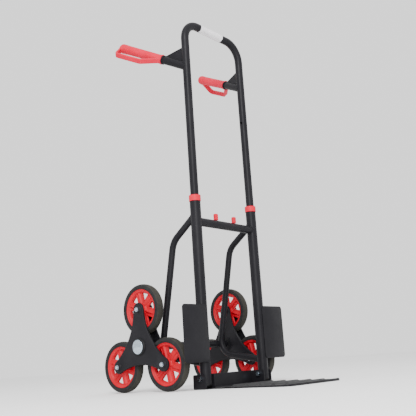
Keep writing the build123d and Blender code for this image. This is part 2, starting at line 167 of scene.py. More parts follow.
def plated(name, low, high, rough, lines=None):
    """Zinc or bare turned steel: crystalline mottling, fine lines from turning, rubbed highlights."""
    p = Paint(name, Metallic=1.0)
    cells = p.add("ShaderNodeTexVoronoi", {"Vector": p.place, "Scale": 330.0}, feature="SMOOTH_F1")
    mottle = p.calc("MULTIPLY", p.ramp(cells.outputs["Distance"], 0.1, 0.7), p.ramp(p.noise(150, 4), 0.25, 0.7))
    p.set("Base Color", p.mix(mottle, low, high))
    p.set("Roughness", p.ramp(p.noise(400, 4), 0.3, 0.7, rough - 0.08, rough + 0.12))
    layers = [(p.noise(700, 3), 0.12, 0.00015)]
    if lines:
        layers.append((p.noise(700, 2, stretch=lines), 0.18, 0.0001))
    p.bump(*layers)
    return p.mat


def rubber(name, low, high, rough):
    """Solid tyre rubber: matte, mottled, with grey scuffs and dust in its pores."""
    p = Paint(name, Specular_IOR_Level=0.12)
    colour = p.mix(p.ramp(p.noise(35, 5, 0.65), 0.34, 0.7), low, high)
    dust = p.ramp(p.noise(480, 5, 0.75), 0.60, 0.78)
    p.set("Base Color", p.mix(p.calc("MULTIPLY", dust, 0.4), colour, (0.085, 0.078, 0.066)))
    p.set("Roughness", p.ramp(p.noise(120, 4), 0.3, 0.7, rough - 0.08, rough + 0.08))
    p.bump((p.noise(900, 4, 0.7), 0.3, 0.0002), (p.noise(90, 3), 0.2, 0.0005))
    return p.mat


def film(name):
    """Plain white shrink film: slightly glossy, creased along the tube."""
    p = Paint(name, Specular_IOR_Level=0.5)
    crease = p.noise(120, 4, 0.6, stretch=(0.3, 1, 1))
    p.set("Base Color", p.mix(p.ramp(crease, 0.4, 0.75), (0.74, 0.72, 0.74), (0.62, 0.60, 0.62)))
    p.set("Roughness", p.ramp(p.noise(60, 3), 0.3, 0.7, 0.32, 0.5))
    p.bump((crease, 0.35, 0.0004))
    return p.mat


def floor_paint(name):
    """Pale studio floor with a hardly visible paper grain."""
    p = Paint(name, Specular_IOR_Level=0.1)
    p.set("Base Color", p.mix(p.ramp(p.noise(3, 4), 0.3, 0.7), (0.93, 0.93, 0.93), (0.95, 0.95, 0.95)))
    p.set("Roughness", p.ramp(p.noise(30, 3), 0.3, 0.7, 0.75, 0.85))
    p.bump((p.noise(900, 3), 0.05, 0.0002))
    return p.mat


MATERIALS = {
    "black_coat": powder_coat("black_coat", (0.0078, 0.0075, 0.0095), (0.0125, 0.012, 0.0142), 0.40),
    "black_plastic": moulded("black_plastic", (0.007, 0.007, 0.008), (0.012, 0.012, 0.013), 0.52, spec=0.12),
    "red_plastic": moulded("red_plastic", (0.52, 0.003, 0.022), (0.59, 0.005, 0.030), 0.42, scatter=0.02, spec=0.14),
    "red_grip": moulded("red_grip", (0.54, 0.003, 0.028), (0.61, 0.006, 0.038), 0.50, grain=1100, scatter=0.03,
                        spec=0.14),
    "white_sleeve": film("white_sleeve"),
    "zinc": plated("zinc", (0.36, 0.43, 0.50), (0.58, 0.66, 0.73), 0.20),
    "bright_steel": plated("bright_steel", (0.50, 0.50, 0.51), (0.66, 0.66, 0.67), 0.28, lines=(6, 0.3, 0.3)),
    "rim_red": moulded("rim_red", (0.40, 0.0012, 0.010), (0.48, 0.0025, 0.015), 0.40, grain=2200, scatter=0.02,
                       spec=0.16),
    "tyre_rubber": rubber("tyre_rubber", (0.011, 0.011, 0.012), (0.021, 0.021, 0.021), 0.62),
}
TREAD = rubber("tyre_tread", (0.024, 0.023, 0.020), (0.042, 0.039, 0.033), 0.78)

# Paler copy of the black coat, given to the toe plate's up-facing faces as painted light from above.
TOP_LIT_COAT = powder_coat("top_lit_coat", (0.020, 0.0198, 0.021), (0.036, 0.0355, 0.037), 0.46)

slot_of = {s["node"]: s["material_slot"] for s in frame["record"]["subparts"]}
for name, node in nodes.items():
    node.data.materials.clear()
    node.data.materials.append(MATERIALS["black_plastic" if name == "axle_washers" else slot_of[name]])


# ---------------------------------------------------------------- mesh helpers, all in millimetres
def piece(name, verts, faces, body, slot, replaced=(), at=(0, 0, 0), smooth_angle=35, mesh=None):
    """A finished piece: its mesh, its material and the body that it rides on."""
    if mesh is None:
        mesh = bpy.data.meshes.new(name)
        mesh.from_pydata([Vector(v) * MM for v in verts], [], faces)
        mesh.validate()
        mesh.materials.append(MATERIALS[slot])
        mesh.shade_smooth()
        mesh.set_sharp_from_angle(angle=radians(smooth_angle))
    obj = bpy.data.objects.new(name, mesh)
    bpy.context.scene.collection.objects.link(obj)
    obj.location = Vector(at) * MM
    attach(obj, body)
    if replaced:
        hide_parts(*replaced)
    return obj


def lathe(profile, steps):
    """Turns a closed line of (x, r) points about the X axis. Points with r = 0 become poles."""
    verts, rings, faces = [], [], []
    for x, r in profile:
        if r < 1e-6:
            rings.append([len(verts)] * steps)
            verts.append((x, 0, 0))
        else:
            rings.append(range(len(verts), len(verts) + steps))
            verts += [(x, r * cos(2 * pi * i / steps), r * sin(2 * pi * i / steps)) for i in range(steps)]
    for a, b in zip(rings, rings[1:] + rings[:1]):
        for i in range(steps):
            j = (i + 1) % steps
            quad = [a[i], b[i], b[j], a[j]]
            corners = [q for k, q in enumerate(quad) if q != quad[k - 1]]
            if len(corners) > 2:
                faces.append(corners)
    return verts, faces


def rounded(points, radius, steps=5):
    """Closed 2-D polygon with each corner rounded by an arc of that radius."""
    out, n = [], len(points)
    for i, (x, y) in enumerate(points):
        r = radius[i] if isinstance(radius, (list, tuple)) else radius
        a, b, c = Vector(points[i - 1]), Vector((x, y)), Vector(points[(i + 1) % n])
        u, v = (a - b).normalized(), (c - b).normalized()
        half = u.angle(v) / 2
        if r <= 0 or abs(half - pi / 2) < 1e-4:
            out.append((x, y))
            continue
        reach = min(r / tan(half), (a - b).length * 0.49, (c - b).length * 0.49)
        r = reach * tan(half)
        centre = b + (u + v).normalized() * (r / sin(half))
        start, stop = b + u * reach - centre, b + v * reach - centre
        turn = start.angle_signed(stop)
        for k in range(steps + 1):
            w = start.copy()
            w.rotate(Matrix.Rotation(-turn * k / steps, 2))
            out.append(tuple(centre + w))
    return out


def sheet_solid(loops, keep, top, bottom):
    """Solid between two height fields over a flat region. loops are the drawn contours; keep(x, y) says
    whether a triangle at that place belongs to the region; top and bottom give heights."""
    points, edges = [], []
    for loop in loops:
        start = len(points)
        points += [Vector(p) for p in loop]
        edges += [(start + i, start + (i + 1) % len(loop)) for i in range(len(loop))]
    flat, _, tris, *_ = delaunay_2d_cdt(points, edges, [], 0, 1e-4)
    kept = []
    for tri in tris:
        centre = sum((flat[i] for i in tri), Vector((0, 0))) / 3
        if keep(*centre):
            kept.append(tuple(tri))
    used = sorted({i for tri in kept for i in tri})
    index = {old: new for new, old in enumerate(used)}
    n = len(used)
    verts = [(*flat[i], top(*flat[i])) for i in used] + [(*flat[i], bottom(*flat[i])) for i in used]
    faces, border = [], {}
    for tri in kept:
        a, b, c = (index[i] for i in tri)
        faces += [(a, b, c), (c + n, b + n, a + n)]
        for e in ((a, b), (b, c), (c, a)):
            border[e] = True
    for a, b in border:
        if (b, a) not in border:
            faces.append((b, a, a + n, b + n))
    return verts, faces


def circle(radius, steps, centre=(0, 0)):
    angles = [2 * pi * i / steps for i in range(steps)]
    return [(centre[0] + radius * cos(a), centre[1] + radius * sin(a)) for a in angles]


def spun(points, turn):
    """2-D points turned about the origin by that many degrees."""
    c, s = cos(radians(turn)), sin(radians(turn))
    return [(c * x - s * y, s * x + c * y) for x, y in points]


def on_loop(loop, x, y):
    """Whether a point is one of a loop's own points."""
    return any(hypot(x - a, y - b) < 1e-3 for a, b in loop)


def edge_drop(loops, steps, x, y):
    """How far a sheet's rounded edge lies below its face; steps holds (inset, drop) for each loop."""
    return next((drop for loop, (_, drop) in zip(loops, steps) if on_loop(loop, x, y)), 0.0)


def join(verts, faces, more_verts, more_faces, flip=False):
    """Adds a second mesh to the first."""
    start = len(verts)
    verts += more_verts
    faces += [[i + start for i in (f[::-1] if flip else f)] for f in more_faces]


def mirrored(verts, faces, s):
    """A mesh drawn at +X, or its mirror image at -X."""
    return (verts, faces) if s > 0 else ([(-x, y, z) for x, y, z in verts], [f[::-1] for f in faces])


# ---------------------------------------------------------------- wheels
WINDOW = [(27.4, 0.0), (46.2, 10.2), (46.2, -10.2)]        # centres of a window's rounded corners
WINDOW_ROUND = 1.6                                         # radius of those corners
WINDOW_TURN = 47.0                                         # direction of the first window, in degrees
RIM_BORE, RIM_LIMIT = 7.0, 60                              # a rim lies between these radii
TREAD_FROM = 0.0722                                        # faces further out than this are tread, in metres


def fold_angle(y, z):
    """(y, z) turned into the sector of the first window."""
    a = (degrees(atan2(z, y)) - WINDOW_TURN + 30) % 60 - 30
    r = hypot(y, z)
    return r * cos(radians(a)), r * sin(radians(a))


def window_distance(y, z):
    """Distance outside the nearest window's outline, negative within it."""
    x, t = fold_angle(y, z)
    inside, best = True, 1e9
    for i in range(3):
        (ax, ay), (bx, by) = WINDOW[i], WINDOW[(i + 1) % 3]
        ux, uy, px, py = bx - ax, by - ay, x - ax, t - ay
        k = max(0, min(1, (ux * px + uy * py) / (ux * ux + uy * uy)))
        best = min(best, hypot(px - k * ux, py - k * uy))
        inside = inside and ux * py - uy * px <= 0
    return (-best if inside else best) - WINDOW_ROUND


def window_loop(offset, k):
    """The outline of window k, that far outside its edge."""
    reach, out, steps = offset + WINDOW_ROUND, [], 7
    for i in range(3):
        (px, py), (x, y), (nx, ny) = WINDOW[i - 1], WINDOW[i], WINDOW[(i + 1) % 3]
        a0 = atan2(y - py, x - px) + pi / 2
        a1 = atan2(ny - y, nx - x) + pi / 2
        if a1 > a0:
            a1 -= 2 * pi
        out += [(x + reach * cos(a0 + (a1 - a0) * j / steps), y + reach * sin(a0 + (a1 - a0) * j / steps))
                for j in range(steps + 1)]
    return spun(out, WINDOW_TURN + 60 * k)


# half thickness of a rim against radius, and against the distance from a window or from a spoke's middle
RIM_PROFILE = [(7.07, 17.6), (7.8, 18.3), (12.2, 18.3), (13.0, 17.5), (15.4, 8.5), (16.8, 5.0), (18.5, 3.4),
               (22.0, 2.8), (47.8, 2.8), (49.4, 3.8), (51.0, 6.4), (52.6, 8.6), (54.2, 9.4), (56.4, 9.8), (57.2, 10.6),
               (57.9, 11.2), (58.9, 11.3), (59.6, 10.7)]
EDGE_PROFILE = [(0.0, 2.5), (0.35, 3.6), (1.3, 3.7), (1.9, 2.8)]
RIB_PROFILE = [(0.0, 7.2), (1.6, 6.9), (3.0, 5.8), (4.4, 3.7), (5.2, 2.8)]


def stepwise(profile, value):
    """Height at a place along a profile of (place, height) points."""
    for (a, ha), (b, hb) in zip(profile, profile[1:]):
        if value <= b:
            return ha + (hb - ha) * max(0, (value - a) / (b - a))
    return profile[-1][1]


def rib_loop(half, k):
    """Long thin outline along spoke k, that far each side of its middle."""
    line = [(16.0, -half), (33.0, -half), (50.4, -half), (50.4, half), (33.0, half), (16.0, half)]
    return spun(line, WINDOW_TURN + 30 + 60 * k)


def rim_height(y, z):
    """Half thickness of a rim: its section, raised round the windows and along the spokes."""
    r, edge = hypot(y, z), window_distance(y, z)
    height = stepwise(RIM_PROFILE, r)
    if edge < 1.95:
        height = max(height, stepwise(EDGE_PROFILE, edge)) if edge > 0.05 else EDGE_PROFILE[0][1]
    a = radians((degrees(atan2(z, y)) - WINDOW_TURN) % 60 - 30)
    across = abs(r * sin(a))
    return max(height, stepwise(RIB_PROFILE, across)) if 15.9 < r < 50.5 and across < 5.2 else height


def rim_mesh():
    loops = [circle(r, 96 if r > 20 else 48) for r, _ in RIM_PROFILE]
    loops += [window_loop(d, k) for d, _ in EDGE_PROFILE for k in range(6)]
    loops += [rib_loop(max(half, 0.4), k) for half, _ in RIB_PROFILE for k in range(6)]
    return sheet_solid(loops, lambda y, z: RIM_BORE < hypot(y, z) < RIM_LIMIT and window_distance(y, z) > 0,
                       rim_height, lambda y, z: -rim_height(y, z))


def tyre_mesh():
    """Solid tyre: seat on the rim, stepped sidewalls, a rounded shoulder and a nearly flat tread."""
    half = [(8.5, 53.0), (8.5, 59.8), (11.6, 59.8), (12.3, 60.4), (12.6, 61.6), (12.6, 62.4), (13.6, 62.9),
            (14.3, 64.2), (14.5, 66.0), (14.4, 67.6), (14.0, 69.2), (13.2, 70.7), (12.0, 71.9), (10.4, 72.9),
            (8.2, 73.6), (5.6, 74.1), (2.8, 74.4), (0.6, 74.49)]
    return lathe(half + [(-x, r) for x, r in reversed(half)], 128)


rim_verts, rim_faces = rim_mesh()
rim_verts = [(z, x, y) for x, y, z in rim_verts]
tyre_verts, tyre_faces = tyre_mesh()
rim_data = tyre_data = None
for side, s in SIDES.items():
    for place, turn in WHEELS.items():
        at = (s * WHEEL_X, HUB_Y + STAR_R * cos(radians(turn)), HUB_Z + STAR_R * sin(radians(turn)))
        body = f"wheel_{side}_{place}"
        rim = piece(f"rim_detail_{side}_{place}", rim_verts, rim_faces, body, "rim_red",
                    [f"rim_{side}_{place}"], at, 28, rim_data)
        tyre = piece(f"tyre_detail_{side}_{place}", tyre_verts, tyre_faces, body, "tyre_rubber",
                     [f"tyre_{side}_{place}"], at, 50, tyre_data)
        if tyre_data is None:
            tyre.data.materials.append(TREAD)
            for face in tyre.data.polygons:
                if hypot(face.center.y, face.center.z) > TREAD_FROM:
                    face.material_index = 1
        rim_data, tyre_data = rim.data, tyre.data


# ---------------------------------------------------------------- grips with their knuckle guards
ARM_ANGLE, ARM_SPLAY, ARM_Z, UPRIGHT_X = radians(28.2), radians(15.1), 965.0, 133.5
KNUCKLE = [(96, 9), (144, 53), (241, 54.5), (258, 9)]
KNUCKLE_DROP = radians(39)
GRIP_MIDDLE, GRIP_HALF = 179.5, 86.5
GUARD_HALF_T, GUARD_HALF_W, GUARD_ROUND, GUARD_BLEND = 3.7, 8.2, 2.4, 6.0


def grip_axes(s):
    """Origin on the mast, and the directions along the arm, towards the knuckle guard, and across both."""
    out = Vector((s * sin(ARM_SPLAY), cos(ARM_SPLAY), 0))
    along = out * cos(ARM_ANGLE) + Vector((0, 0, sin(ARM_ANGLE)))
    upward = along.cross(along.cross(out).normalized())
    outward = Vector((s * cos(ARM_SPLAY), -sin(ARM_SPLAY), 0))
    knuckle = outward * cos(KNUCKLE_DROP) - upward * sin(KNUCKLE_DROP)
    return Vector((s * UPRIGHT_X, 0, ARM_Z)), along, knuckle, along.cross(knuckle)


def grip_field(a, w, v):
    """Signed distance to a grip and its guard; a along the arm, w towards the guard, v across."""
    radius = np.interp(a, [93, 96, 99, 108, 150, 225, 250, 266], [15.6, 15.6, 14.6, 13.9, 14.2, 14.6, 15.4, 15.4])
    across = np.hypot(w, v)
    end_r = np.where(a > 180, 11.5, 1.4)
    qa, qr = np.abs(a - GRIP_MIDDLE) - GRIP_HALF + end_r, across - radius + end_r
    body = np.hypot(np.maximum(qa, 0), np.maximum(qr, 0)) + np.minimum(np.maximum(qa, qr), 0) - end_r
    path = rounded(KNUCKLE, [0, 13, 13, 0], 6)
    near = np.full(a.shape, 1e9)
    for (ax, ay), (bx, by) in zip(path, path[1:]):
        ux, uy = bx - ax, by - ay
        k = np.clip(((a - ax) * ux + (w - ay) * uy) / (ux * ux + uy * uy), 0, 1)
        near = np.minimum(near, np.hypot(a - ax - k * ux, w - ay - k * uy))
    qd, qv = near - GUARD_HALF_T + GUARD_ROUND, np.abs(v) - GUARD_HALF_W + GUARD_ROUND
    guard = np.hypot(np.maximum(qd, 0), np.maximum(qv, 0)) + np.minimum(np.maximum(qd, qv), 0) - GUARD_ROUND
    h = np.clip(0.5 + 0.5 * (guard - body) / GUARD_BLEND, 0, 1)
    return guard + (body - guard) * h - GUARD_BLEND * h * (1 - h)


def field_surface(field, low, high, step):
    """Quads on the zero surface of a signed distance field, by surface nets, pulled onto the surface."""
    axes = [np.arange(a, b, step) for a, b in zip(low, high)]
    grid = np.meshgrid(*axes, indexing="ij")
    values = field(*grid)
    inside = values < 0
    shape = tuple(n - 1 for n in values.shape)
    total, count = np.zeros((*shape, 3)), np.zeros(shape)
    corners = [(i, j, k) for i in (0, 1) for j in (0, 1) for k in (0, 1)]

    def corner(array, c):
        return array[c[0]:c[0] + shape[0], c[1]:c[1] + shape[1], c[2]:c[2] + shape[2]]

    for c in corners:
        for axis in range(3):
            if c[axis]:
                continue
            d = tuple(v + (1 if n == axis else 0) for n, v in enumerate(c))
            fa, fb = corner(values, c), corner(values, d)
            crossing = (fa < 0) != (fb < 0)
            t = np.where(crossing, fa / np.where(crossing, fa - fb, 1), 0)
            for n in range(3):
                total[..., n] += crossing * (c[n] + (t if n == axis else 0))
            count += crossing
    used = count > 0
    index = np.full(shape, -1)
    index[used] = np.arange(used.sum())
    cells = np.argwhere(used)
    points = np.array(low) + (cells + total[used] / count[used][:, None]) * step
    for _ in range(3):
        h = 0.2
        f = field(*points.T)
        slope = np.stack([(field(*(points + h * e).T) - field(*(points - h * e).T)) / (2 * h)
                          for e in np.eye(3)], 1)
        points -= 0.9 * (f / np.maximum((slope**2).sum(1), 0.25))[:, None] * slope
    faces = []
    for axis in range(3):
        u, w = (axis + 1) % 3, (axis + 2) % 3
        a = np.moveaxis(inside, axis, 0)[:-1]
        b = np.moveaxis(inside, axis, 0)[1:]
        for cell in np.argwhere(a != b):
            at = [0, 0, 0]
            rest = [n for n in range(3) if n != axis]
            at[axis] = cell[0]
            at[rest[0]], at[rest[1]] = cell[1], cell[2]
            ring = []
            for du, dw in ((0, 0), (-1, 0), (-1, -1), (0, -1)):
                q = list(at)
                q[u] += du
                q[w] += dw
                ring.append(int(index[tuple(q)]))
            faces.append(ring if a[tuple(cell)] else ring[::-1])
    return points, faces


grip_points, grip_faces = field_surface(grip_field, (88, -20, -20), (270, 64, 20), 1.3)
for side, s in SIDES.items():
    origin, along, knuckle, cross = grip_axes(s)
    verts = [origin + a * along + w * knuckle + v * cross for a, w, v in grip_points.tolist()]
    piece(f"grip_detail_{side}", verts, grip_faces, "handle", "red_grip", [f"grip_{side}"], smooth_angle=80)


# ---------------------------------------------------------------- wheel stars
LOBE_R, WAIST_R, PLATE_T, ROLLED = 19.5, 51.0, 3.0, -3.3       # ROLLED: how far the edge is turned over
HUB_HOLE, BOLT_HOLE = 19.5, 4.0
OUTER_X, INNER_X, BOLT_X = 217.0, 179.3, 220                   # faces of the plates, and the seat of the bolts


def polar(turn, radius):
    return Vector((cos(radians(turn)), sin(radians(turn)))) * radius


def star_loop(inset):
    """Outline of a star plate, drawn in (Y, Z) about the hub, that far inside its edge."""
    hollow = (STAR_R**2 - (WAIST_R - LOBE_R) ** 2) / (STAR_R - 2 * (WAIST_R - LOBE_R))
    hollow_r = hollow - WAIST_R
    out = []
    for k in range(3):
        lobe, before, after = polar(90 + 120 * k, STAR_R), polar(30 + 120 * k, hollow), polar(150 + 120 * k, hollow)
        a0 = atan2(before.y - lobe.y, before.x - lobe.x)
        a1 = atan2(after.y - lobe.y, after.x - lobe.x)
        if a1 < a0:
            a1 += 2 * pi
        r = LOBE_R - inset
        out += [tuple(lobe + Vector((cos(a0 + (a1 - a0) * j / 24), sin(a0 + (a1 - a0) * j / 24))) * r)
                for j in range(25)]
        nxt = polar(210 + 120 * k, STAR_R)
        b0 = atan2(lobe.y - after.y, lobe.x - after.x)
        b1 = atan2(nxt.y - after.y, nxt.x - after.x)
        while b1 < b0:
            b1 += 2 * pi
        if b1 - b0 > pi:
            b0 += 2 * pi
        r = hollow_r + inset
        out += [tuple(after + Vector((cos(b0 + (b1 - b0) * j / 16), sin(b0 + (b1 - b0) * j / 16))) * r)
                for j in range(1, 16)]
    return out


def within(loop, x, y):
    """Whether a point is inside a closed 2-D loop."""
    hit = False
    for (ax, ay), (bx, by) in zip(loop, loop[1:] + loop[:1]):
        if (ay > y) != (by > y) and x < ax + (y - ay) / (by - ay) * (bx - ax):
            hit = not hit
    return hit


STAR_EDGE = [(0.0, 0.4), (0.15, 1.3), (0.7, 2.3), (1.5, 2.85), (2.5, PLATE_T)]
STAR_LOOPS = [star_loop(inset) for inset, _ in STAR_EDGE]
AXLES = [(STAR_R * cos(radians(a)), STAR_R * sin(radians(a))) for a in (90, 210, 330)]
# (radius, height) of the shallow seat round each nut, and of the boss under each bolt head
DISH = [(0.0, -0.7), (12.6, -0.7), (14.4, 0.0)]
BOSS = [(0.0, 4.5), (9.4, 4.5), (10.4, 4.2), (11.0, 3.4), (12.0, 0.6), (13.0, 0.0)]


def star_face(y, z, seat):
    """Height of the pressed face: rounded along the edge, with a seat round each bolt."""
    for loop, (_, edge) in zip(STAR_LOOPS, STAR_EDGE):
        if on_loop(loop, y, z):
            return edge
    nearest = min(hypot(y - a, z - b) for a, b in AXLES)
    return PLATE_T + (stepwise(seat, nearest) if nearest < seat[-1][0] else 0)


def star_back(y, z):
    """Height of the back: turned over along the edge."""
    return ROLLED if any(on_loop(loop, y, z) for loop in STAR_LOOPS) else 0.0


def star_plate(seat):
    """Pressed plate of a star, as (y, z, height), with that seat round each bolt."""
    loops = STAR_LOOPS + [star_loop(2.6)] + [circle(HUB_HOLE, 48)]
    loops += [circle(r, 32, c) for c in AXLES for r in [BOLT_HOLE] + [r for r, _ in seat[1:]]]
    return sheet_solid(loops, lambda y, z: within(STAR_LOOPS[0], y, z) and hypot(y, z) > HUB_HOLE
                       and min(hypot(y - a, z - b) for a, b in AXLES) > BOLT_HOLE,
                       lambda y, z: star_face(y, z, seat), star_back)


HEX_R = 5.1                                 # half the width across the flats of a bolt head


def hex_lathe(profile, steps=72):
    """Like lathe, for (x, r, hexed) points: hexed rings are held inside a hexagon."""
    verts, faces = lathe([(x, r) for x, r, _ in profile], steps)
    start = 0
    for x, r, hexed in profile:
        if r < 1e-6:
            start += 1
            continue
        for i in range(steps if hexed else 0):
            a = 2 * pi * i / steps
            ring = min(r, HEX_R / cos((a + pi / 6) % (pi / 3) - pi / 6))
            verts[start + i] = (x, ring * cos(a), ring * sin(a))
        start += steps
    return verts, faces


# sections: (x, r, hexed) from a bolt's seat, and (x, r) from the middle of the truck
BOLT = [(-51, 0, 0), (-51, 3.2, 0), (-50.2, 3.9, 0), (4.4, 3.9, 0), (4.4, 6.2, 0), (4.7, 6.5, 0), (5.3, 6.5, 0),
        (5.6, 6.1, 0), (5.7, 5.9, 1), (7.6, 5.9, 1), (8.3, 5.5, 1), (8.9, 4.8, 1), (9.4, 4.0, 0), (9.8, 2.9, 0),
        (10.05, 1.6, 0), (10.1, 0, 0)]
CAP = [(225.5, 8.1), (225.5, 19.4), (225.8, 20.3), (226.4, 20.6), (227.0, 20.4), (227.5, 19.7), (227.9, 18.4),
       (229.2, 16.2), (230.4, 13.2), (231.4, 9.8), (232.2, 6.2), (232.7, 2.6), (232.8, 0), (230.8, 0), (230.7, 8.1)]
# Black ring under each hub cap: a dark piece put in for the shade round the cap.
CAP_SHADE_RING = [(219.9, 16.6), (219.9, 25.2), (220.7, 25.5), (221.5, 25.1), (224.5, 22.6), (225.2, 21.9), (225.4, 21.0),
        (225.4, 16.6)]

hub_at = (0, HUB_Y, HUB_Z)
bolt_verts, bolt_faces = hex_lathe(BOLT)
for side, s in SIDES.items():
    body = f"star_{side}"
    for name, face, way, seat in (("outer", OUTER_X, 1, BOSS), ("inner", INNER_X, -1, DISH)):
        plate_verts, plate_faces = star_plate(seat)
        verts = [(s * (face + way * h), y, z) for y, z, h in plate_verts]
        faces = plate_faces if s * way > 0 else [f[::-1] for f in plate_faces]
        piece(f"star_plate_detail_{name}_{side}", verts, faces, body, "black_coat",
              [f"star_plate_{name}_{side}"], hub_at, 40)

    verts, faces = [], []
    for y, z in AXLES:
        join(verts, faces, [(x + BOLT_X, y + a, z + b) for x, a, b in bolt_verts], bolt_faces)
    piece(f"wheel_bolts_detail_{side}", *mirrored(verts, faces, s), body, "zinc", [f"wheel_bolts_{side}"],
          hub_at, 32)

    # The black plastic ring under each cap is a dark piece put in for the shade round the cap.
    for name, profile, slot, rider in (("hub_cap", CAP, "zinc", "frame"), ("hub_seal", CAP_SHADE_RING, "black_plastic", body)):
        caps = piece(f"{name}_{side}", *mirrored(*lathe(profile, 96), s), rider, slot, at=hub_at, smooth_angle=45)
        if name == "hub_cap" and side == "right":
            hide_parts("axle_caps")


# ---------------------------------------------------------------- wheel guards and toe plate
MAST_FRONT = -16                                     # Y of the uprights' front line
GUARD_IN, GUARD_OUT, GUARD_LOW, GUARD_HIGH, GUARD_CORNER, GUARD_T = 130, 233, 73, 232.5, 10, 2


def rounded_plate(x0, x1, z0, z1, corner):
    """Flat plate with softened edges, as (x, z, height)."""
    steps = [(0.0, 0.5), (0.25, 0.15), (0.8, 0.0)]
    loops = [rounded([(x0 + i, z0 + i), (x1 - i, z0 + i), (x1 - i, z1 - i), (x0 + i, z1 - i)], corner - i, 8)
             for i, _ in steps]

    def drop(x, z):
        return edge_drop(loops, steps, x, z)

    return sheet_solid(loops, lambda x, z: within(loops[0], x, z), lambda x, z: GUARD_T - drop(x, z), drop)


for side, s in SIDES.items():
    verts, faces = rounded_plate(*sorted((s * GUARD_IN, s * GUARD_OUT)), GUARD_LOW, GUARD_HIGH, GUARD_CORNER)
    piece(f"wheel_guard_detail_{side}", [(x, MAST_FRONT - h, z) for x, z, h in verts], faces, "frame",
          "black_coat", [f"wheel_guard_{side}"], smooth_angle=40)


RIB_ROWS, RIB_HALF, RIB_REACH, SHEET = (-64, -108, -152, -196, -240), 88.5, 11.5, 2.5
RIB_CONTOURS = (11.5, 10.2, 8.6, 7, 5.4, 3.8, 2.2, 0.8)
TOE_FRONT, TOE_HALF, TOE_CORNER, HEM_REAR, HEM_W = -277, 131, 26, -60, 8.0
EAR_X, EAR_REAR, WALL_HALF, WALL_Y = 148.5, 31.5, 117, 27.5       # where the flat sheet bends up into ears and wall
FOLD_Z, FOLD_TOP, PIVOT, PIVOT_R = 4, 40, (4, 28), 4.1            # height of ears and wall; the bolt's hole
HEM_PROFILE = [(0.0, 0.9), (0.3, 1.7), (1.0, 2.3), (2.2, 2.5), (5.8, 2.5), (7.0, 2.2), (7.7, 1.4), (8.0, 0.0)]


def rib_height(x, y):
    """Soft pressed ribs across the toe plate."""
    near = min(hypot(max(abs(x) - RIB_HALF, 0), y - row) for row in RIB_ROWS)
    return 3.0 * (1 + cos(pi * near / RIB_REACH)) if near < RIB_REACH else 0.0


def hem_height(x, y):
    """Hem folded over along the front and, flatter, along the sides as far back as HEM_REAR."""
    if y > HEM_REAR:
        return 0.0
    qx, qy = abs(x) - TOE_HALF + TOE_CORNER, TOE_FRONT + TOE_CORNER - y
    inside = TOE_CORNER - (hypot(qx, qy) if qx > 0 and qy > 0 else max(qx, qy))
    if inside >= HEM_W:
        return 0.0
    front = max(0.0, min(1.0, (-246 - y) / 18))                   # 0 along the sides, 1 along the front
    return stepwise(HEM_PROFILE, inside) * min(1.0, (HEM_REAR - y) / 4) * (0.6 + 1.1 * front)


def hem_loop(i):
    """Outline of the hem, that far inside the toe plate's edge."""
    x, y = TOE_HALF - i, TOE_FRONT + i
    return rounded([(-x, y), (x, y), (x, HEM_REAR - 4), (x, HEM_REAR), (-x, HEM_REAR), (-x, HEM_REAR - 4)],
                   [TOE_CORNER - i, TOE_CORNER - i, 0, 0, 0, 0], 14)


def toe_outline(i):
    """Outline of the flat part of the toe plate, that far inside its edge."""
    x, y, ear_front, ear_rear = TOE_HALF - i, TOE_FRONT + i, MAST_FRONT + i, EAR_REAR - i
    corners = [(-x, y), (x, y), (x, HEM_REAR - 4), (x, HEM_REAR), (x, ear_front), (EAR_X, ear_front),
               (EAR_X, ear_rear), (WALL_HALF, ear_rear), (WALL_HALF, WALL_Y), (-WALL_HALF, WALL_Y),
               (-WALL_HALF, ear_rear), (-EAR_X, ear_rear), (-EAR_X, ear_front), (-x, ear_front), (-x, HEM_REAR),
               (-x, HEM_REAR - 4)]
    return rounded(corners, [TOE_CORNER - i, TOE_CORNER - i] + [0] * 14, 14)


def slot_loop(row, reach):
    """Outline with round ends, that far from the middle line of a rib."""
    return [(end + reach * cos(radians(a)), row + reach * sin(radians(a)))
            for end, first in ((RIB_HALF, -90), (-RIB_HALF, 90)) for a in range(first, first + 181, 12)]


toe_steps = [(0.0, 0.55), (0.25, 0.15), (0.7, 0.0)]
toe_loops = [toe_outline(i) for i, _ in toe_steps]


def toe_drop(x, y):
    """The sheet's rounded edge, left square where the ears and the wall bend up."""
    if abs(x) > EAR_X - 0.1 or (abs(x) < WALL_HALF + 0.1 and y > WALL_Y - 0.1):
        return 0.0
    return edge_drop(toe_loops, toe_steps, x, y)


toe_contours = toe_loops + [hem_loop(i) for i, _ in HEM_PROFILE[2:]]
toe_contours += [slot_loop(row, r) for row in RIB_ROWS for r in RIB_CONTOURS]
toe_verts, toe_faces = sheet_solid(toe_contours, lambda x, y: within(toe_loops[0], x, y),
                                   lambda x, y: SHEET + rib_height(x, y) + hem_height(x, y) - toe_drop(x, y),
                                   lambda x, y: rib_height(x, y) + toe_drop(x, y))


def bend_strip(steps=8, inner=1.5):
    """Quarter bend of the sheet, from flat to upright: its outer and inner points in (outward, up)."""
    return [((inner + SHEET) * sin(a), (inner + SHEET) * (1 - cos(a)),
             inner * sin(a), inner + SHEET - inner * cos(a)) for a in (pi / 2 * k / steps for k in range(steps + 1))]


def bent(start, low, high, place):
    """Bend of the toe sheet between two ends; place(outward, along, up) gives (x, y, z)."""
    verts, faces = [], []
    for o1, z1, o2, z2 in bend_strip():
        verts += [place(start + o1, low, z1), place(start + o2, low, z2),
                  place(start + o2, high, z2), place(start + o1, high, z1)]
    for k in range(len(verts) // 4 - 1):
        a, b = 4 * k, 4 * k + 4
        faces += [[a + i, a + (i + 1) % 4, b + (i + 1) % 4, b + i] for i in range(4)]
    return verts, faces


ear_steps = [(0.0, 0.5), (0.25, 0.12), (0.7, 0.0)]


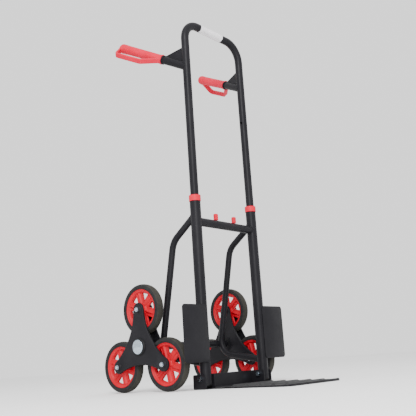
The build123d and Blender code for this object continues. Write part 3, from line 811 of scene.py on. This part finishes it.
def upstand(low, high, corner, hole=()):
    """Upright part of the sheet between two ends, as (along, z, height), with a round hole if one is given."""
    loops = [rounded([(low + i, FOLD_Z), (high - i, FOLD_Z), (high - i, FOLD_TOP - i), (low + i, FOLD_TOP - i)],
                     [0, 0, corner - i, corner - i], 6) for i, _ in ear_steps]

    def drop(x, z):
        return 0.0 if z < FOLD_Z + 0.01 else edge_drop(loops, ear_steps, x, z)

    def keep(x, z):
        return within(loops[0], x, z) and not (hole and hypot(x - PIVOT[0], z - PIVOT[1]) <= PIVOT_R)

    return sheet_solid(loops + list(hole), keep, lambda x, z: SHEET - drop(x, z), drop)


ear_verts, ear_faces = upstand(MAST_FRONT, EAR_REAR, 5, [circle(PIVOT_R, 32, PIVOT)])
wall_verts, wall_faces = upstand(-WALL_HALF, WALL_HALF, 3)
for s in SIDES.values():
    join(toe_verts, toe_faces, [(s * (150 + h), y, z) for y, z, h in ear_verts], ear_faces, s < 0)
    v, f = bent(EAR_X, MAST_FRONT, EAR_REAR, lambda o, y, z: (s * o, y, z))
    join(toe_verts, toe_faces, v, f, s > 0)
join(toe_verts, toe_faces, [(x, 29 + h, z) for x, z, h in wall_verts], wall_faces, True)
v, f = bent(WALL_Y, -WALL_HALF, WALL_HALF, lambda o, x, z: (x, o, z))
join(toe_verts, toe_faces, v, f)
toe = piece("toe_plate_detail", toe_verts, toe_faces, "toe", "black_coat", ["toe_plate"], smooth_angle=32)
toe.data.materials.append(TOP_LIT_COAT)
# Up-facing faces of the toe plate take the paler coat: painted light from above.
for face in toe.data.polygons:
    if face.normal.z > 0.4 and face.center.z < 0.012 and face.center.y < -0.02:
        face.material_index = 1


# ---------------------------------------------------------------- knobs, label sleeve and welds
def loft(loops, cap=True):
    """Skin over closed loops with equal numbers of points."""
    n = len(loops[0])
    verts = [p for loop in loops for p in loop]
    faces = [[k * n + i, k * n + (i + 1) % n, (k + 1) * n + (i + 1) % n, (k + 1) * n + i]
             for k in range(len(loops) - 1) for i in range(n)]
    if cap:
        faces += [list(range(n))[::-1], [(len(loops) - 1) * n + i for i in range(n)]]
    return verts, faces


KNOB_X = 43
# (z, inset) up a release knob, with its finger grooves
KNOB = [(489.5, 0.7), (490.1, 0.1), (491.4, 0.0), (492.6, 0.35), (493.8, 0.35), (495.0, 0.0), (495.9, 0.0),
        (496.7, 0.45), (497.5, 0.45), (498.3, 0.0), (499.2, 0.0), (500.0, 0.45), (500.8, 0.45), (501.6, 0.0),
        (505.6, 0.15), (507.4, 0.5), (508.4, 1.2), (508.85, 2.2), (509.0, 3.4)]
for side, s in SIDES.items():
    loops = []
    for z, i in KNOB:
        outline = rounded([(-6.5 + i, -5.5 + i), (6.5 - i, -5.5 + i), (6.5 - i, 5.5 - i), (-6.5 + i, 5.5 - i)],
                          max(2.9 - i, 0.6), 6)
        loops.append([(s * KNOB_X + x, y, z) for x, y in outline])
    verts, faces = loft(loops)
    stem = loft([[(s * KNOB_X + x, y, z) for x, y in circle(2.75, 24)] for z in (480, 491)])
    join(verts, faces, *stem)
    piece(f"release_knob_detail_{side}", verts, faces, f"knob_{side}", "red_plastic", [f"release_knob_{side}"],
          smooth_angle=50)


BAR_Z, FILM_IN, FILM_OUT = 1118, 12.55, 12.98             # height of the top bar, and the film's radii


def label_mesh(steps=96, cells=40):
    """White film round the top bar, with torn slanting ends and one overlapping seam."""
    verts, faces = [], []
    for k in range(cells + 1):
        for i in range(steps):
            a = 2 * pi * i / steps
            left = -63.1 + 3.4 * sin(a + 0.6) + 2.4 * abs((3 * a / pi + 0.2) % 2 - 1)
            right = 42.0 + 3.0 * cos(a - 2.2) - 2.6 * abs((2 * a / pi) % 2 - 1)
            x = left + (right - left) * k / cells
            seam = 0.22 * max(0, 1 - abs(a - 3.9) / 0.35)
            crease = 0.07 * sin(5 * a + 0.13 * x) * sin(0.21 * x + 2 * a)
            r = FILM_OUT + seam + crease
            verts.append((x, r * cos(a), BAR_Z + r * sin(a)))
    n = (cells + 1) * steps
    verts += [(x, y * FILM_IN / hypot(y, z - BAR_Z), BAR_Z + (z - BAR_Z) * FILM_IN / hypot(y, z - BAR_Z))
              for x, y, z in verts]
    for k in range(cells):
        for i in range(steps):
            a, b = k * steps + i, k * steps + (i + 1) % steps
            faces += [[a, a + steps, b + steps, b], [b + n, b + steps + n, a + steps + n, a + n]]
    for i in range(steps):
        j = (i + 1) % steps
        faces.append([i, j, j + n, i + n])
        faces.append([i + cells * steps + n, j + cells * steps + n, j + cells * steps, i + cells * steps])
    return verts, faces


piece("label_sleeve", *label_mesh(), "handle", "white_sleeve", ["top_bar_sleeve"], smooth_angle=60)


def bead(path, radius, closed=True):
    """Weld bead along a line of points, with overlapping ripples."""
    points = [Vector(p) for p in path]
    if closed:
        points.append(points[0])
    total = sum((b - a).length for a, b in zip(points, points[1:]))
    count = max(6, int(total / 0.9))
    line, spent, k = [], 0.0, 0
    for n in range(count if closed else count + 1):
        target = total * n / count
        while k < len(points) - 2 and spent + (points[k + 1] - points[k]).length < target:
            spent += (points[k + 1] - points[k]).length
            k += 1
        step = (points[k + 1] - points[k]).length
        line.append(points[k].lerp(points[k + 1], min(1, (target - spent) / max(step, 1e-9))))
    loops, size, frame_x = [], len(line), None
    for n, p in enumerate(line):
        ahead = line[(n + 1) % size] if closed or n < size - 1 else p
        behind = line[n - 1] if closed or n > 0 else p
        tangent = (ahead - behind).normalized()
        if frame_x is None:
            frame_x = tangent.orthogonal().normalized()
        frame_x = (frame_x - tangent * frame_x.dot(tangent)).normalized()
        frame_y = tangent.cross(frame_x)
        taper = 1.0 if closed else min(1, (min(n, size - 1 - n) + 0.6) / 2.5)
        r = radius * taper * (1 + 0.13 * cos(2 * pi * n / 4.0) + 0.06 * sin(n * 1.7))
        loops.append([p + r * (cos(a) * frame_x + sin(a) * frame_y) for a in (2 * pi * j / 8 for j in range(8))])
    if closed:
        twist = min(range(8), key=lambda t: (loops[-1][0] - loops[0][t]).length)
        loops.append([loops[0][(j + twist) % 8] for j in range(8)])
    return loft(loops, cap=not closed)


def saddle(main_x, main_r, origin, way, branch_r, steps=72):
    """Where a branch tube meets an upright tube that stands at (main_x, 0)."""
    way, origin = Vector(way).normalized(), Vector(origin)
    e1 = way.orthogonal().normalized()
    e2 = way.cross(e1)
    line = []
    for n in range(steps):
        a = 2 * pi * n / steps
        p = origin + branch_r * (cos(a) * e1 + sin(a) * e2)
        dx, dy = p.x - main_x, p.y
        qa, qb, qc = way.x**2 + way.y**2, dx * way.x + dy * way.y, dx * dx + dy * dy - main_r**2
        reach = (-qb + sqrt(max(qb * qb - qa * qc, 0))) / qa
        line.append(p + reach * way)
    return line


def welds(name, body, lines, radius, closed=True):
    """One piece that holds a weld bead along each line."""
    verts, faces = [], []
    for line in lines:
        join(verts, faces, *bead(line, radius, closed))
    piece(name, verts, faces, body, "black_coat", smooth_angle=75)


UPRIGHT_R, TUBE_R, LEG_R, CROSS_Z = 16, 12.5, 10, 476
for side, s in SIDES.items():
    x = s * UPRIGHT_X
    joints = [saddle(x, UPRIGHT_R, (x, 0, CROSS_Z), (-s, 0, 0), TUBE_R),
              saddle(x, UPRIGHT_R, (x, 0, 498.3), (0, 97.1, -68.9), LEG_R),
              saddle(x, UPRIGHT_R, (x, 0, 70.3), (0, 167.8, 29), LEG_R)]
    welds(f"frame_welds_{side}", "frame", joints, 1.45)

    origin, along, knuckle, cross = grip_axes(s)
    welds(f"arm_weld_{side}", "handle", [saddle(x, TUBE_R, origin, along, TUBE_R)], 1.5)
    out = Vector((along.x, along.y, 0)).normalized()
    flank = out.cross(Vector((0, 0, 1)))
    seams = []
    for way in (-1, 1):
        foot = origin + flank * (2.6 * way)
        seams.append([foot + out * 12.6 + Vector((0, 0, z)) for z in (22, 40, 63)])
        lift = Vector((0, 0, 1)) * cos(ARM_ANGLE) - out * sin(ARM_ANGLE)
        seams.append([foot + along * a + lift * 12.6 for a in (22, 50, 82)])
    welds(f"gusset_welds_{side}", "handle", seams, 1.3, closed=False)
    ring = [(s * 175.9, y, z) for y, z in circle(20.2, 60, (HUB_Y, HUB_Z))]
    welds(f"hub_weld_{side}", f"star_{side}", [ring], 1.5)
    seams = [[(s * 149.2, -14.6, z) for z in (z0, z0 + 22)] for z0 in (88, 142, 196)]
    welds(f"guard_welds_{side}", "frame", seams, 1.6, closed=False)


# ---------------------------------------------------------------- floor, lights and backdrop
def area_light(name, place, target, size, power):
    data = bpy.data.lights.new(name, "AREA")
    data.shape, data.size, data.size_y = "RECTANGLE", *size
    data.energy = power
    lamp = bpy.data.objects.new(name, data)
    bpy.context.scene.collection.objects.link(lamp)
    lamp.location = place
    lamp.rotation_euler = (Vector(target) - Vector(place)).to_track_quat("-Z", "Y").to_euler()


floor_mesh = bpy.data.meshes.new("floor")
floor_mesh.from_pydata([(-12, -12, 0), (12, -12, 0), (12, 12, 0), (-12, 12, 0)], [], [(0, 1, 2, 3)])
floor_mesh.materials.append(floor_paint("floor"))
floor = bpy.data.objects.new("floor", floor_mesh)
bpy.context.scene.collection.objects.link(floor)
floor.location.z = -0.0004

world = bpy.data.worlds.new("studio")
world.use_nodes = True
world.node_tree.nodes["Background"].inputs[0].default_value = (1, 1, 1, 1)
world.node_tree.nodes["Background"].inputs[1].default_value = 1.45
bpy.context.scene.world = world
area_light("key", (-2.4, -1.6, 2.6), (0, 0, 0.6), (1.2, 1.2), 110)
area_light("tall_strip", (-2.5, -2.4, 1.1), (0, 0, 0.6), (0.45, 2.2), 75)
